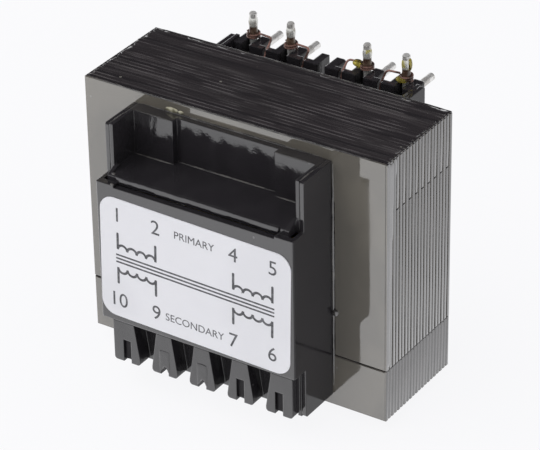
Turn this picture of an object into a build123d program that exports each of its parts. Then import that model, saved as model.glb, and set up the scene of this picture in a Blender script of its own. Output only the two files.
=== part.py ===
from build123d import *
import os

os.makedirs("parts", exist_ok=True)

# Open-frame transformer that is soldered to a circuit board.
# X runs along the two pin rows, Y runs from the secondary row to the primary row,
# and Z rises from the board's surface, Z = 0, to the label. Sizes are in millimetres.

# Laminations: E and I stampings, stacked with their joints at alternate ends
centre_leg = 12.8
side_leg = 6.4
yoke = 6.4
window_width = 6.4
window_height = 19.2
lam_thickness = 0.65
lam_count = 21
lam_edge = 0.1  # rolled edge that the punch leaves
butt_gap = 0.1  # joint between an E and its I

# Bobbin
leg_clearance = 0.1  # bore of the tube to the centre leg
tube_wall = 0.9
tube_corner = 0.5
flange_thickness = 1.0
partition_thickness = 0.9
yoke_clearance = 0.3  # flange to yoke, inside the window
core_clearance = 0.1  # mouldings to the core's two faces
flange_reach = 6.95  # free edge of the flange, from the core's face
partition_setback = 0.45  # partition's edge behind the flange's edge
flange_edge = 0.15
end_wall = 0.45
end_wall_setback = 1.35  # end walls and cover walls, behind the flange's edge
back_wall = 1.6
recess_depth = 0.8
recess_width = 13.0
lip_rib_height = 0.45

# Comb: terminal posts on the outer face of a wall
pin_pitch = 5.0
comb_half = 11.75  # from the middle to the outer sides of the end posts
comb_wall = 0.8
row_spacing = 25.0
comb_past_row = 1.9  # from the pin row to the ends of the posts
post_root_width = 1.95
post_width = 3.36
post_shoulder = 0.6  # straight sides below the taper, from the post's end
post_depth = 1.9
post_corner = 0.35
slot_clearance = 0.05
slot_floor = 0.5  # room under the pin at the slot's root
notch_width = 0.5
notch_clearance = 0.2  # inner end of a wire notch, past the inner winding's lead

# Terminal pins
pin_diameter = 0.9
pin_length = 3.85  # below the board's surface
pin_bend = 1.0
wrap_length = 3.3  # past the ends of the posts
pin_tip = 0.12

# Covers, one on each side of the core
cover_wall = 0.8  # plate across the coil
cover_side = 0.5  # side walls
cover_clearance = 0.05
window_side_clearance = 0.2  # cover to the window's outer side
cover_rise = 0.25  # cover's side walls past the comb
plate_low = 8.6  # plate below and above the middle of the window
plate_high = 8.3
ear_height = 0.25
ear_width = 2.3
cover_edge = 0.2
cover_corner = 0.35
tongue_gap = 0.4  # between the tongues of the two covers

# Windings: two in each chamber, with tape between and round them
chamber_clearance = 0.1
layer_tape = 0.15
outer_tape = 0.3
tape_clearance = 0.75  # outer tape to the cover's side wall
inner_share = 0.52  # of the winding room, for the inner winding

# Lead wires and solder
lead_diameter = 0.25
lead_bend = 0.45
lead_inset = 0.3  # lead's centre inside its winding's outer face
joint_start = 0.25  # first turn of wire, from the ends of the posts
wrap_turns = 3
solder_cover = 0.12
solder_dip = 0.12  # groove between two turns
solder_taper = 1.2
solder_lip = 0.03  # thickness at the thin end

# Label, stuck on a little out of true
label_height = 15.0
label_margin = 0.15  # to the plate's rounded edges
label_drop = 0.6
label_turn = 1.3
label_corner = 1.8
label_thickness = 0.1

# Places that follow from the sizes
stack = lam_count * lam_thickness
core_width = centre_leg + 2 * (window_width + side_leg)
core_height = window_height + 2 * yoke
cover_reach = flange_reach + cover_clearance + cover_wall
core_back = cover_reach
core_front = core_back + stack
stack_middle = core_back + stack / 2
window_side = centre_leg / 2 + window_width
cover_half = window_side - window_side_clearance
cover_inside = cover_half - cover_side
flange_half = cover_inside - cover_clearance
lip_half = flange_half - end_wall
flange_outer = window_height / 2 - yoke_clearance
end_wall_reach = flange_reach - end_wall_setback
flange_inner = flange_outer - flange_thickness
row_y = row_spacing / 2
comb_end = row_y + comb_past_row
wall_end = comb_end + cover_rise
slot_width = pin_diameter + 2 * slot_clearance
slot_root = row_y - pin_diameter / 2 - slot_floor
pin_z = core_back - flange_reach + post_depth / 2
tube_half_x = centre_leg / 2 + leg_clearance + tube_wall
tube_half_z = stack / 2 + leg_clearance + tube_wall
winding_room = cover_inside - tube_half_x - layer_tape - outer_tape - tape_clearance
inner_build = inner_share * winding_room
outer_build = winding_room - inner_build
label_width = 2 * (cover_half - cover_edge - label_margin)
lead_depth = tube_half_z - stack / 2 + inner_build - lead_inset  # inner winding's lead, from the core's face
notch_root = lead_depth - lead_diameter / 2 - notch_clearance
pin_places = (-2, -1, 1, 2)
gap_places = [(place + 0.5) * pin_pitch for place in range(-2, 2)]
middle_plane = Plane.XY.offset(stack_middle)

# One E lamination with its back at +Y, and the I that closes it
with BuildPart() as e_lamination:
    with BuildSketch():
        with Locations((0, yoke / 2)):
            Rectangle(core_width, core_height - yoke)
        with Locations((centre_leg / 2 + window_width / 2, 0), (-centre_leg / 2 - window_width / 2, 0)):
            Rectangle(window_width, window_height, mode=Mode.SUBTRACT)
    extrude(amount=lam_thickness)
    chamfer(e_lamination.faces().sort_by(Axis.Z)[-1].edges(), length=lam_edge)

with BuildPart() as i_lamination:
    with BuildSketch():
        with Locations((0, -core_height / 2 + (yoke - butt_gap) / 2)):
            Rectangle(core_width, yoke - butt_gap)
    extrude(amount=lam_thickness)
    chamfer(i_lamination.faces().sort_by(Axis.Z)[-1].edges(), length=lam_edge)

up_places = [Location((0, 0, core_back + i * lam_thickness)) for i in range(0, lam_count, 2)]
down_places = [
    Location((0, 0, core_back + i * lam_thickness), (0, 0, 180)) for i in range(1, lam_count, 2)
]

with BuildPart() as e_laminations_up:
    with Locations(*up_places):
        add(e_lamination.part)
e_laminations_up.part.label = "e_laminations_up"
export_step(e_laminations_up.part, "parts/e_laminations_up.step")

with BuildPart() as i_laminations_up:
    with Locations(*up_places):
        add(i_lamination.part)
i_laminations_up.part.label = "i_laminations_up"
export_step(i_laminations_up.part, "parts/i_laminations_up.step")

with BuildPart() as e_laminations_down:
    with Locations(*down_places):
        add(e_lamination.part)
e_laminations_down.part.label = "e_laminations_down"
export_step(e_laminations_down.part, "parts/e_laminations_down.step")

with BuildPart() as i_laminations_down:
    with Locations(*down_places):
        add(i_lamination.part)
i_laminations_down.part.label = "i_laminations_down"
export_step(i_laminations_down.part, "parts/i_laminations_down.step")

# Comb of five slotted posts and the wall behind them, on the outer face of a flange.
# It is drawn above the label side.
with BuildPart() as comb:
    with BuildSketch(Plane.XY.offset(core_front + flange_reach - post_depth)) as posts:
        for place in range(-2, 3):
            with BuildLine():
                left = -post_width / 2 if place > -2 else -comb_half + pin_pitch * 2
                right = post_width / 2 if place < 2 else comb_half - pin_pitch * 2
                left_root = -post_root_width / 2 if place > -2 else left
                right_root = post_root_width / 2 if place < 2 else right
                middle = place * pin_pitch
                Polyline(
                    (middle + left_root, flange_outer),
                    (middle + left, comb_end - post_shoulder),
                    (middle + left, comb_end),
                    (middle + right, comb_end),
                    (middle + right, comb_end - post_shoulder),
                    (middle + right_root, flange_outer),
                    close=True,
                )
            make_face()
        fillet(posts.vertices().group_by(Axis.Y)[-1], radius=post_corner)
    extrude(amount=post_depth)
    with BuildSketch(Plane.XY.offset(core_front + flange_reach - post_depth)):
        with Locations((0, (flange_outer + comb_end) / 2)):
            Rectangle(2 * comb_half, comb_end - flange_outer)
    extrude(amount=-comb_wall)
    with BuildSketch(Plane.XY.offset(core_front + flange_reach)):
        with Locations(*[(place * pin_pitch, (slot_root + comb_end) / 2) for place in range(-2, 3)]):
            Rectangle(slot_width, comb_end - slot_root)
    extrude(amount=-(post_depth + comb_wall), mode=Mode.SUBTRACT)

# Walls of the trays on a flange: end walls, and a back wall that is thinner in the middle
with BuildPart() as tray_walls:
    with BuildSketch(Plane.XZ.offset(-flange_outer)):
        with BuildLine():
            half = Polyline(
                (0, core_front + core_clearance),
                (flange_half, core_front + core_clearance),
                (flange_half, core_front + end_wall_reach),
                (lip_half, core_front + end_wall_reach),
                (lip_half, core_front + back_wall + core_clearance),
                (recess_width / 2, core_front + back_wall + core_clearance),
                (recess_width / 2, core_front + back_wall + core_clearance - recess_depth),
                (0, core_front + back_wall + core_clearance - recess_depth),
            )
            mirror(half, about=Plane.YZ)
        make_face()
    extrude(amount=-(wall_end - flange_outer))
    mirror(about=middle_plane)

# Bobbin, one moulding: tube, two flanges, partition, trays and three combs
with BuildPart() as bobbin:
    with BuildSketch(Plane.XZ.offset(flange_outer)):
        with Locations((0, stack_middle)):
            RectangleRounded(2 * tube_half_x, 2 * tube_half_z, radius=tube_corner)
    extrude(amount=-2 * flange_outer)
    # Flanges, narrower where they reach past the end walls
    for side in (-1, 1):
        with BuildSketch(Plane.XZ.offset(side * flange_inner)):
            with Locations((0, stack_middle)):
                Rectangle(2 * flange_half, stack + 2 * end_wall_reach)
                Rectangle(2 * lip_half, stack + 2 * flange_reach)
        extrude(amount=side * flange_thickness)
    lip_edges = bobbin.edges().filter_by(Axis.X).filter_by(
        lambda e: abs(e.center().Y) > flange_outer - 0.01
        and abs(e.center().Z - stack_middle) > stack / 2 + flange_reach - 0.01
    )
    chamfer(lip_edges, length=flange_edge)
    with BuildSketch(Plane.XZ.offset(-partition_thickness / 2)):
        with Locations((0, stack_middle)):
            Rectangle(2 * flange_half, stack + 2 * (flange_reach - partition_setback))
    extrude(amount=partition_thickness)
    add(tray_walls.part)
    add(mirror(tray_walls.part, about=Plane.XZ, mode=Mode.PRIVATE))
    # Sloping ribs at the ends of the free lip
    for rib_x in (-lip_half, lip_half - end_wall):
        with BuildSketch(Plane.YZ.offset(rib_x)):
            with BuildLine():
                Polyline(
                    (flange_outer, core_front + end_wall_reach - lip_rib_height),
                    (flange_outer + lip_rib_height, core_front + end_wall_reach - lip_rib_height),
                    (flange_outer + lip_rib_height, core_front + end_wall_reach),
                    (flange_outer, core_front + flange_reach - flange_edge),
                    close=True,
                )
            make_face()
        extrude(amount=end_wall)
    # Combs: label side below, board side above and below
    add(mirror(comb.part, about=Plane.XZ, mode=Mode.PRIVATE))
    board_comb = mirror(comb.part, about=middle_plane, mode=Mode.PRIVATE)
    add(board_comb)
    add(mirror(board_comb, about=Plane.XZ, mode=Mode.PRIVATE))
    # Notches on the board side, through the flanges and the combs' walls, for the lead wires
    with BuildSketch(Plane.XZ.offset(comb_end)):
        with Locations(*[(x, core_back - (flange_reach + notch_root) / 2) for x in gap_places]):
            Rectangle(notch_width, flange_reach - notch_root)
    extrude(amount=-2 * comb_end, mode=Mode.SUBTRACT)
    # Bore for the centre legs
    with BuildSketch(Plane.XZ.offset(flange_outer)):
        with Locations((0, stack_middle)):
            Rectangle(centre_leg + 2 * leg_clearance, stack + 2 * leg_clearance)
    extrude(amount=-2 * flange_outer, mode=Mode.SUBTRACT)
bobbin.part.label = "bobbin"
export_step(bobbin.part, "parts/bobbin.step")

# Cover: side walls that reach into the windows, and the plate across the coil
with BuildPart() as label_cover:
    with BuildSketch(Plane.YZ.offset(-cover_half)):
        with BuildLine():
            Polyline(
                (-wall_end, core_front + core_clearance),
                (-wall_end, core_front + end_wall_reach),
                (-plate_low, core_front + end_wall_reach),
                (-plate_low, core_front + cover_reach),
                (plate_high + ear_height, core_front + cover_reach),
                (plate_high + ear_height, core_front + end_wall_reach),
                (wall_end, core_front + end_wall_reach),
                (wall_end, core_front + core_clearance),
                (flange_outer, core_front + core_clearance),
                (flange_outer, stack_middle + tongue_gap / 2),
                (-flange_outer, stack_middle + tongue_gap / 2),
                (-flange_outer, core_front + core_clearance),
                close=True,
            )
        make_face()
    extrude(amount=2 * cover_half)
    with BuildSketch(Plane.XY.offset(core_front + flange_reach + cover_clearance)):
        Rectangle(2 * cover_inside, 2 * wall_end)
    extrude(amount=-(flange_reach + stack), mode=Mode.SUBTRACT)
    # The plate is lower between its two ears
    with BuildSketch(Plane.XY.offset(core_front + cover_reach)):
        with Locations((0, plate_high + ear_height / 2)):
            Rectangle(2 * (cover_half - ear_width), ear_height)
    extrude(amount=-cover_wall, mode=Mode.SUBTRACT)
    fillet(
        label_cover.edges().filter_by(Axis.X).filter_by(
            lambda e: abs(e.center().Y) > wall_end - 0.01 and e.center().Z > core_front + cover_wall
        ),
        radius=cover_corner,
    )
    fillet(
        label_cover.edges().filter_by(Axis.Y).filter_by(
            lambda e: e.center().Z > core_front + cover_reach - 0.01 and abs(e.center().X) > cover_half - 0.01
        ),
        radius=cover_edge,
    )
label_cover.part.label = "label_cover"
export_step(label_cover.part, "parts/label_cover.step")

# The same moulding turned over to the board side; its plate seats on the board
with BuildPart() as board_cover:
    add(label_cover.part.rotate(Axis((0, 0, stack_middle), (0, 1, 0)), 180))
board_cover.part.label = "board_cover"
export_step(board_cover.part, "parts/board_cover.step")

# Rings wound on the tube, from the inside out: thickness and name of each
chamber_length = flange_inner - partition_thickness / 2 - 2 * chamber_clearance
chamber_start = partition_thickness / 2 + chamber_clearance
layers = (
    ("winding_inner", inner_build),
    ("layer_tape", layer_tape),
    ("winding_outer", outer_build),
    ("outer_tape", outer_tape),
)
for circuit, start in (("primary", chamber_start), ("secondary", -chamber_start - chamber_length)):
    inside = 0
    for layer, build in layers:
        with BuildPart() as ring:
            with BuildSketch(Plane.XZ.offset(-start)):
                with Locations((0, stack_middle)):
                    RectangleRounded(
                        2 * (tube_half_x + inside + build),
                        2 * (tube_half_z + inside + build),
                        radius=tube_corner + inside + build,
                    )
                    RectangleRounded(
                        2 * (tube_half_x + inside),
                        2 * (tube_half_z + inside),
                        radius=tube_corner + inside,
                        mode=Mode.SUBTRACT,
                    )
            extrude(amount=-chamber_length)
        ring.part.label = f"{circuit}_{layer}"
        export_step(ring.part, f"parts/{circuit}_{layer}.step")
        inside += build

# Terminals: an L-shaped pin in each outer slot, its soldered wire wrap and its lead wire
joint_radius = pin_diameter / 2 + lead_diameter + solder_cover
joint_length = wrap_turns * (lead_diameter + solder_cover)
for circuit, side_y in (("primary", 1), ("secondary", -1)):
    for number, place in enumerate(pin_places, start=1):
        pin_x = place * pin_pitch
        with BuildPart() as pin:
            with BuildLine() as pin_path:
                FilletPolyline(
                    (pin_x, side_y * (comb_end + wrap_length), pin_z),
                    (pin_x, side_y * row_y, pin_z),
                    (pin_x, side_y * row_y, -pin_length),
                    radius=pin_bend,
                )
            with BuildSketch(Plane(pin_path.line @ 0, z_dir=pin_path.line % 0)):
                Circle(pin_diameter / 2)
            sweep()
            chamfer(pin.edges().sort_by(Axis.Z)[0], length=pin_tip)
            chamfer(pin.edges().sort_by(Axis.Y)[-1 if side_y > 0 else 0], length=pin_tip)
        pin.part.label = f"{circuit}_pin_{number}"
        export_step(pin.part, f"parts/{circuit}_pin_{number}.step")

        # Solder over the turns of wire, thinning towards the tip of the post
        with BuildPart() as joint:
            with BuildSketch(Plane((pin_x, 0, pin_z), x_dir=(1, 0, 0), z_dir=(0, 0, 1))):
                with BuildLine():
                    joint_y = side_y * (comb_end + joint_start)
                    turn = side_y * joint_length / wrap_turns
                    rim = joint_radius - solder_dip
                    for i in range(wrap_turns):
                        ThreePointArc(
                            (rim, joint_y + i * turn),
                            (joint_radius, joint_y + (i + 0.5) * turn),
                            (rim, joint_y + (i + 1) * turn),
                        )
                    Polyline(
                        (rim, joint_y + wrap_turns * turn),
                        (pin_diameter / 2 + solder_lip, joint_y + wrap_turns * turn + side_y * solder_taper),
                        (pin_diameter / 2, joint_y + wrap_turns * turn + side_y * solder_taper),
                        (pin_diameter / 2, joint_y),
                        (rim, joint_y),
                    )
                make_face()
            revolve(axis=Axis((pin_x, 0, pin_z), (0, 1, 0)))
        joint.part.label = f"{circuit}_solder_{number}"
        export_step(joint.part, f"parts/{circuit}_solder_{number}.step")

        # Lead wire: out of its winding, through the notch, up the gap between two posts
        toward = 1 if place < 0 else -1
        notch_x = pin_x + toward * pin_pitch / 2
        depth = inner_build if place < 0 else inner_build + layer_tape + outer_build
        lead_z = stack_middle - tube_half_z - depth + lead_inset
        lead_start = chamber_start + chamber_length
        with BuildPart() as lead:
            with BuildLine() as lead_path:
                FilletPolyline(
                    (notch_x, side_y * lead_start, lead_z),
                    (notch_x, side_y * (flange_outer + lead_bend), lead_z),
                    (notch_x, side_y * (comb_end - lead_bend), pin_z + (post_depth + comb_wall) / 2),
                    (notch_x, side_y * (comb_end + joint_start + lead_bend), pin_z),
                    (
                        pin_x + toward * pin_diameter / 2,
                        side_y * (comb_end + joint_start + joint_length / 2),
                        pin_z,
                    ),
                    radius=lead_bend,
                )
            with BuildSketch(Plane(lead_path.line @ 0, z_dir=lead_path.line % 0)):
                Circle(lead_diameter / 2)
            sweep()
            add(joint.part, mode=Mode.SUBTRACT)
            add(pin.part, mode=Mode.SUBTRACT)
        lead.part.label = f"{circuit}_lead_{number}"
        export_step(lead.part, f"parts/{circuit}_lead_{number}.step")

# Label on the cover's plate
with BuildPart() as label:
    with BuildSketch(Plane.XY.offset(core_front + cover_reach)):
        with Locations((0, -label_drop)):
            RectangleRounded(label_width, label_height, radius=label_corner, rotation=-label_turn)
    extrude(amount=label_thickness)
label.part.label = "label"
export_step(label.part, "parts/label.step")
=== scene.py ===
# %% [markdown]
# # Dressing a circuit board transformer
# The solid model already has every lamination, moulding and pin at its true size.
# This lesson adds what a solid model leaves out: varnish, tin, wire and print.
# We load the model first. Its nodes stay where they are for the whole lesson.

# %% Load the frame
import math
import random

import bpy
from mathutils import Matrix, Vector


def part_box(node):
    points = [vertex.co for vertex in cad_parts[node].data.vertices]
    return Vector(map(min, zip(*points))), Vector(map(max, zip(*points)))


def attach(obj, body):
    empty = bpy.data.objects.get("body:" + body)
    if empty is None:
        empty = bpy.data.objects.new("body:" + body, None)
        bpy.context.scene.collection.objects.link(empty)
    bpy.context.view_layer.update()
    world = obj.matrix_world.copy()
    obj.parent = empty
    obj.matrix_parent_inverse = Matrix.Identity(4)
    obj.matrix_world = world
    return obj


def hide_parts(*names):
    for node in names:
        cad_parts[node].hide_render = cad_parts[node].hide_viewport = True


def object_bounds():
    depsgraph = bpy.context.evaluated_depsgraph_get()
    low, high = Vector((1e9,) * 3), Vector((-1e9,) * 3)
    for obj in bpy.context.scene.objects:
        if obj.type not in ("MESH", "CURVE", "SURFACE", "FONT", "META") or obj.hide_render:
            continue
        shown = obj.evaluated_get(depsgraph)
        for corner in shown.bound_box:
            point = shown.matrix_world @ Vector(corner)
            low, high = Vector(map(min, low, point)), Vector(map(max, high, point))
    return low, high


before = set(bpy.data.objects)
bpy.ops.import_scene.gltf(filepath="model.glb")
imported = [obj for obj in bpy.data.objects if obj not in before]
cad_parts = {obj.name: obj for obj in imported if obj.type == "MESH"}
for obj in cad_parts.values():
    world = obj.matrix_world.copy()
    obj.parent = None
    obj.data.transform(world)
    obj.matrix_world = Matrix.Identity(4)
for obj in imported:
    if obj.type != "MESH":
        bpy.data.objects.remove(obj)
cad_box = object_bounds()
MM = 0.001
print("nodes:", len(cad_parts))
print("size in mm:", [round(x / MM, 1) for x in cad_box[1] - cad_box[0]])

# %% [markdown]
# Most places in this lesson are read from the boxes of the nodes, and the others are
# sizes of the solid model. X runs along the pins, Y from the lower row of pins to
# the upper row, and Z from the board to the label.

# %% Measure the nodes
core_low, core_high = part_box("e_laminations_up")
core_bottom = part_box("e_laminations_down")[0].y
bobbin_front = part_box("bobbin")[1].z
cover_low, cover_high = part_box("label_cover")
label_low, label_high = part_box("label")
core_front = core_high.z
sheet_pitch = 0.65 * MM
print("core front in mm:", round(core_front / MM, 2))


# %% [markdown]
# ## The camera
# The transformer stands on one yoke, with +Y up and the label towards us. The turn,
# the rise and the small roll say from where we look. A long lens keeps the
# edges nearly parallel, as in a product picture.

# %% Place the camera
camera_turn = math.radians(33.348)
camera_rise = math.radians(30.509)
camera_roll = math.radians(-1.033)
camera_distance = 339.46 * MM
camera_target = Vector((0.19, -0.49, 14.62)) * MM
focal_length_px = 3065.3
picture_width_px = 540

toward_camera = Vector((
    math.sin(camera_turn) * math.cos(camera_rise),
    math.sin(camera_rise),
    math.cos(camera_turn) * math.cos(camera_rise),
))
level_right = Vector((0, 1, 0)).cross(toward_camera).normalized()
level_up = toward_camera.cross(level_right)
right = math.cos(camera_roll) * level_right + math.sin(camera_roll) * level_up
up = math.cos(camera_roll) * level_up - math.sin(camera_roll) * level_right

bpy.ops.object.camera_add()
camera = bpy.context.active_object
camera.name = "product_camera"
turned = Matrix((right, up, toward_camera)).transposed().to_4x4()
camera.matrix_world = Matrix.Translation(camera_target + camera_distance * toward_camera) @ turned
camera.data.sensor_width = 36
camera.data.lens = focal_length_px / picture_width_px * camera.data.sensor_width
camera.data.clip_start = 10 * MM
camera.data.clip_end = 20
bpy.context.scene.camera = camera
print("lens in mm:", round(camera.data.lens, 1))


# %% [markdown]
# ## Small helpers
# An operator works on everything that is selected, so each piece starts with nothing
# selected. These helpers pick points, edges and faces by a test, which is the
# written form of clicking on them.

# %% Selection helpers
def deselect_all():
    if bpy.context.object and bpy.context.object.mode == "EDIT":
        bpy.ops.object.mode_set(mode="OBJECT")
    bpy.ops.object.select_all(action="DESELECT")


def select_only(piece):
    deselect_all()
    bpy.context.view_layer.objects.active = piece
    piece.select_set(True)


def edit(piece):
    select_only(piece)
    bpy.ops.object.mode_set(mode="EDIT")
    bpy.ops.mesh.select_all(action="DESELECT")


def select_parts(piece, kind, test):
    """Selects the points, edges or faces that pass the test, in edit mode."""
    bpy.ops.mesh.select_mode(type=kind)
    bpy.ops.mesh.select_all(action="DESELECT")
    bpy.ops.object.mode_set(mode="OBJECT")
    mesh = piece.data
    for part in {"VERT": mesh.vertices, "EDGE": mesh.edges, "FACE": mesh.polygons}[kind]:
        part.select = test(part)
    bpy.ops.object.mode_set(mode="EDIT")


def select_points(piece, test):
    """Tests the place of each point."""
    select_parts(piece, "VERT", lambda point: test(point.co))


def select_edges(piece, test):
    """Tests the vector from one end of each edge to the other."""
    def passes(edge):
        first, second = [piece.data.vertices[i].co for i in edge.vertices]
        return test(second - first)

    select_parts(piece, "EDGE", passes)


def select_faces(piece, test):
    """Tests the normal of each face."""
    select_parts(piece, "FACE", lambda face: test(face.normal))


print("selection helpers are ready")


# %% [markdown]
# Each piece starts as a primitive with a name, and ends with its finish and its place
# in the frame. Each finished piece has its object on the origin, unturned.

# %% Piece helpers
def apply_transform():
    bpy.ops.object.transform_apply(location=True, rotation=True, scale=True)


def start_piece(name):
    """Names the primitive that was just added, and puts its place into its mesh."""
    piece = bpy.context.active_object
    piece.name = name
    piece.data.name = name
    apply_transform()
    return piece


def apply_modifiers(piece):
    select_only(piece)
    for modifier in list(piece.modifiers):
        bpy.ops.object.modifier_apply(modifier=modifier.name)


def finish_piece(piece, material, smooth_deg=40):
    """Smooths a finished piece, gives it its finish and fixes it to the frame."""
    select_only(piece)
    apply_transform()
    bpy.ops.object.shade_smooth_by_angle(angle=math.radians(smooth_deg))
    piece.data.materials.clear()
    piece.data.materials.append(material)
    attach(piece, "root")
    deselect_all()
    return piece


print("piece helpers are ready")


# %% [markdown]
# Between start and finish, some steps come back on many pieces: a fine plate to pull at,
# an uneven skin, normals that face outwards, and a row of copies.

# %% Shaping helpers
def start_plate(name, columns, rows, thickness):
    """A fine grid with a thickness, one unit wide and high, left in edit mode."""
    deselect_all()
    bpy.ops.mesh.primitive_grid_add(x_subdivisions=columns, y_subdivisions=rows, size=1)
    plate = start_piece(name)
    edit(plate)
    bpy.ops.mesh.select_all(action="SELECT")
    bpy.ops.mesh.extrude_region_move(TRANSFORM_OT_translate={"value": (0, 0, thickness)})
    return plate


def make_uneven(offset, normal, seed, rounds):
    """Shifts the selected points at random, and then smooths them."""
    bpy.ops.transform.vertex_random(offset=offset, uniform=0.0, normal=normal, seed=seed)
    if rounds:
        bpy.ops.mesh.vertices_smooth(factor=0.5, repeat=rounds)


def face_outward():
    bpy.ops.mesh.select_all(action="SELECT")
    bpy.ops.mesh.normals_make_consistent(inside=False)


def repeat_piece(piece, count, step):
    """Adds an Array modifier with a step that is a length."""
    row = piece.modifiers.new("row", "ARRAY")
    row.count = count
    row.use_relative_offset = False
    row.use_constant_offset = True
    row.constant_offset_displace = step


print("shaping helpers are ready")


# %% [markdown]
# ## Node helpers
# A material is a small drawing of boxes and wires. Short functions keep the drawings
# readable: they add a box, fill its inputs with values or wires, and start a group
# or a material.

# %% Node helpers
def fill(tree, node, **inputs):
    """Fills inputs with values or wires. The key i0 stands for the first input."""
    for key, value in inputs.items():
        numbered = key[0] == "i" and key[1:].isdigit()
        socket = node.inputs[int(key[1:]) if numbered else key.replace("_", " ")]
        if isinstance(value, bpy.types.NodeSocket):
            tree.links.new(value, socket)
        else:
            socket.default_value = value


def add_node(tree, kind, settings=None, **inputs):
    """Adds a node, sets its options and fills its inputs."""
    made = tree.nodes.new(kind)
    for key, value in (settings or {}).items():
        setattr(made, key, value)
    fill(tree, made, **inputs)
    return made


def new_group(name, inputs, outputs):
    """Starts a node group with inputs, given with their values, and outputs."""
    group = bpy.data.node_groups.new(name, "ShaderNodeTree")
    for socket, value in inputs.items():
        made = group.interface.new_socket(socket, in_out="INPUT", socket_type="NodeSocketFloat")
        made.default_value = value
    for socket in outputs:
        group.interface.new_socket(socket, in_out="OUTPUT", socket_type="NodeSocketFloat")
    return group, group.nodes.new("NodeGroupInput"), group.nodes.new("NodeGroupOutput")


def use_group(tree, group, **inputs):
    return add_node(tree, "ShaderNodeGroup", {"node_tree": group}, **inputs)


def new_material(name, **shader):
    """A material with a Principled BSDF whose plain values are set on its own sockets."""
    material = bpy.data.materials.new(name)
    material.use_nodes = True
    surface = material.node_tree.nodes["Principled BSDF"]
    fill(material.node_tree, surface, **shader)
    return material, material.node_tree, surface


print("node helpers are ready")


# %% [markdown]
# Five small sums come back in nearly every drawing: a calculation, a product of two
# vectors, a soft step, a colour between two colours, and a value stretched over a range.

# %% Sums with nodes
def calculate(tree, operation, first, second=0.5):
    """A Math node on two values or wires."""
    return add_node(tree, "ShaderNodeMath", {"operation": operation}, i0=first, i1=second).outputs[0]


def multiply_vectors(tree, first, second):
    settings = {"operation": "MULTIPLY"}
    return add_node(tree, "ShaderNodeVectorMath", settings, i0=first, i1=second).outputs[0]


def soft_step(tree, value, low, high, top=1.0):
    """Rises softly from 0 to the top while the value goes from low to high."""
    return add_node(
        tree, "ShaderNodeMapRange", {"interpolation_type": "SMOOTHSTEP"},
        Value=value, From_Min=low, From_Max=high, To_Max=top,
    ).outputs[0]


def mix_colors(tree, factor, first, second):
    """A colour between two colours. Each may be a value or a wire."""
    settings = {"data_type": "RGBA"}
    return add_node(tree, "ShaderNodeMix", settings, Factor=factor, i6=first, i7=second).outputs[2]


def map_value(tree, value, low, high):
    """Stretches a value from 0 to 1 over the range from low to high."""
    return add_node(tree, "ShaderNodeMapRange", Value=value, To_Min=low, To_Max=high).outputs[0]


print("sums are ready")


# %% [markdown]
# ## The studio
# The picture has a white ground and nothing else. The varnish mirrors that ground, so
# it matters where it is: a large floor below the lower pins. Its back is see-through,
# so a camera below it still sees the transformer.
# The ground is a little lit by itself for the camera and for mirrors. It still
# takes the light of the lamps, and with it a soft shadow.

# %% Lay the floor
floor_gap = 0.1 * MM
floor_size = 4.0
floor_color = (0.9, 0.9, 0.915, 1)
floor_glow = 0.93
glow_color = (0.965, 0.965, 0.98, 1)

bpy.ops.mesh.primitive_plane_add(
    size=floor_size,
    location=(0, cad_box[0].y - floor_gap, 0),
    rotation=(math.radians(-90), 0, 0),
)
floor = bpy.context.active_object
floor.name = "studio_floor"

floor_paint = bpy.data.materials.new("floor_paint")
floor_paint.use_nodes = True
tree = floor_paint.node_tree
tree.nodes.clear()
path = add_node(tree, "ShaderNodeLightPath")
seen = calculate(tree, "MAXIMUM", path.outputs["Is Camera Ray"], path.outputs["Is Glossy Ray"])
seen = calculate(tree, "MAXIMUM", seen, path.outputs["Is Transmission Ray"])
share = calculate(tree, "MULTIPLY", seen, floor_glow)
paper = add_node(tree, "ShaderNodeBsdfDiffuse", Color=floor_color)
glow = add_node(tree, "ShaderNodeEmission", Color=glow_color, Strength=1.0)
ground = add_node(tree, "ShaderNodeMixShader", i0=share, i1=paper.outputs[0], i2=glow.outputs[0])
clear = add_node(tree, "ShaderNodeBsdfTransparent")
side = add_node(tree, "ShaderNodeNewGeometry")
both = add_node(
    tree, "ShaderNodeMixShader", i0=side.outputs["Backfacing"], i1=ground.outputs[0], i2=clear.outputs[0],
)
add_node(tree, "ShaderNodeOutputMaterial", Surface=both.outputs[0])
floor.data.materials.append(floor_paint)
print("floor at y in mm:", round(floor.location.y / MM, 2))

# %% [markdown]
# The room round the floor is white where the camera or a mirror looks at it low down,
# and dark overhead, as in a studio with a black ceiling. The dark ceiling is why
# the top of the core looks nearly black.

# %% Paint the room
room_white = (0.96, 0.96, 0.975, 1)
room_fill = (0.5, 0.5, 0.51, 1)
ceiling_dark = (0.02, 0.0185, 0.0215, 1)
ceiling_start = 0.12
ceiling_full = 0.35

world = bpy.data.worlds.new("studio_room")
bpy.context.scene.world = world
world.use_nodes = True
tree = world.node_tree
tree.nodes.clear()
path = add_node(tree, "ShaderNodeLightPath")
direction = add_node(tree, "ShaderNodeTexCoord")
split = add_node(tree, "ShaderNodeSeparateXYZ", Vector=direction.outputs["Generated"])
overhead = soft_step(tree, split.outputs["Y"], ceiling_start, ceiling_full)
mirrored = mix_colors(tree, overhead, room_white, ceiling_dark)
mirror_ray = calculate(tree, "MAXIMUM", path.outputs["Is Glossy Ray"], path.outputs["Is Transmission Ray"])
lit = mix_colors(tree, mirror_ray, room_fill, mirrored)
shown = mix_colors(tree, path.outputs["Is Camera Ray"], lit, room_white)
background = add_node(tree, "ShaderNodeBackground", Color=shown, Strength=1.0)
add_node(tree, "ShaderNodeOutputWorld", Surface=background.outputs[0])
print("room is painted")

# %% [markdown]
# Two broad lamps give plain soft light. Sun lamps light every part of a small scene
# alike, and a wide angle makes their shadows soft. Mirrors don't see the lamps,
# so the black varnish shows only the white ground and the dark ceiling.

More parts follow.
